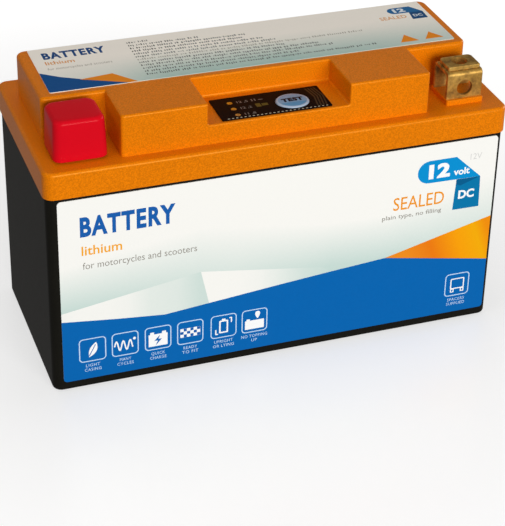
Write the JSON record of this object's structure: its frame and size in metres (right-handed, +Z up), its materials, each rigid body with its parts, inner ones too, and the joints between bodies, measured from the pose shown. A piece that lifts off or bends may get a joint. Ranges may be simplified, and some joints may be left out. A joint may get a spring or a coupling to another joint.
{
  "type": "motorcycle battery",
  "caption": "Sealed lithium motorcycle battery: black case, orange stepped cover with folded brass terminals, red push-on terminal cap and a charge tester with a press button.",
  "frame": {"origin": "centre of the base, on the surface the battery stands on", "axes": "+X along the length towards the negative terminal, -Y to the front where the terminals and the large label are, +Z up"},
  "size_m": [0.15, 0.065, 0.092],
  "materials": {
    "black_case": "fine spark-eroded black moulding",
    "orange_cover": "orange moulding, satin, fine grain",
    "label_top": "printed film label",
    "label_front": "printed film label",
    "overlay_film": "black membrane film",
    "button_film": "pale blue domed button",
    "red_cap": "soft red moulding, rounded",
    "terminal_brass": "stamped brass strip, dull",
    "switch_black": "moulded black",
    "board_green": "solder-masked board",
    "light_amber": "moulded amber light guide",
    "screw_steel": "zinc-plated steel",
    "holder_black": "moulded black",
    "nickel_link": "nickel-plated strip",
    "copper_bar": "bare copper strip",
    "chip_black": "moulded epoxy",
    "cell_steel": "drawn nickel-plated steel can",
    "cell_winding": "wound electrode foils",
    "foam_grey": "closed-cell foam pad"
  },
  "bodies": {
    "battery": {"case": "black_case", "cover": "orange_cover", "top_label": "label_top", "front_label": "label_front", "tester_overlay": "overlay_film", "terminal_negative": "terminal_brass", "terminal_positive": "terminal_brass", "tact_switch": "switch_black", "tester_board": "board_green", "status_light_1": "light_amber", "status_light_2": "light_amber", "status_light_3": "light_amber", "tester_screws": "screw_steel", "board_screws": "screw_steel", "board_link_header": "switch_black", "cell_holder_bottom": "holder_black", "cell_holder_top": "holder_black", "cell_link_1_2": "nickel_link", "cell_link_3_4": "nickel_link", "cell_link_2_3": "nickel_link", "collector_negative": "copper_bar", "collector_positive": "copper_bar", "busbar_negative": "copper_bar", "busbar_positive": "copper_bar", "management_board": "board_green", "power_transistors": "chip_black", "controller_chip": "chip_black", "balance_resistors": "chip_black", "current_shunt": "screw_steel", "foam_base": "foam_grey", "foam_left": "foam_grey", "foam_right": "foam_grey", "cell_1_can": "cell_steel", "cell_1_winding": "cell_winding", "cell_2_can": "cell_steel", "cell_2_winding": "cell_winding", "cell_3_can": "cell_steel", "cell_3_winding": "cell_winding", "cell_4_can": "cell_steel", "cell_4_winding": "cell_winding"},
    "positive_cap": {"positive_cap": "red_cap"},
    "test_button": {"test_button": "button_film", "switch_plunger": "switch_black"}
  },
  "joints": [
    {"name": "cap_lift", "type": "slide", "parent": "battery", "child": "positive_cap", "axis": [0, 0, 1], "range_m": [0, 0.03]},
    {"name": "test_button_press", "type": "slide", "parent": "battery", "child": "test_button", "axis": [0, 0, -1], "range_m": [0, 0.0005], "stiffness_N_per_m": 400, "springref_m": -0.0008}
  ]
}
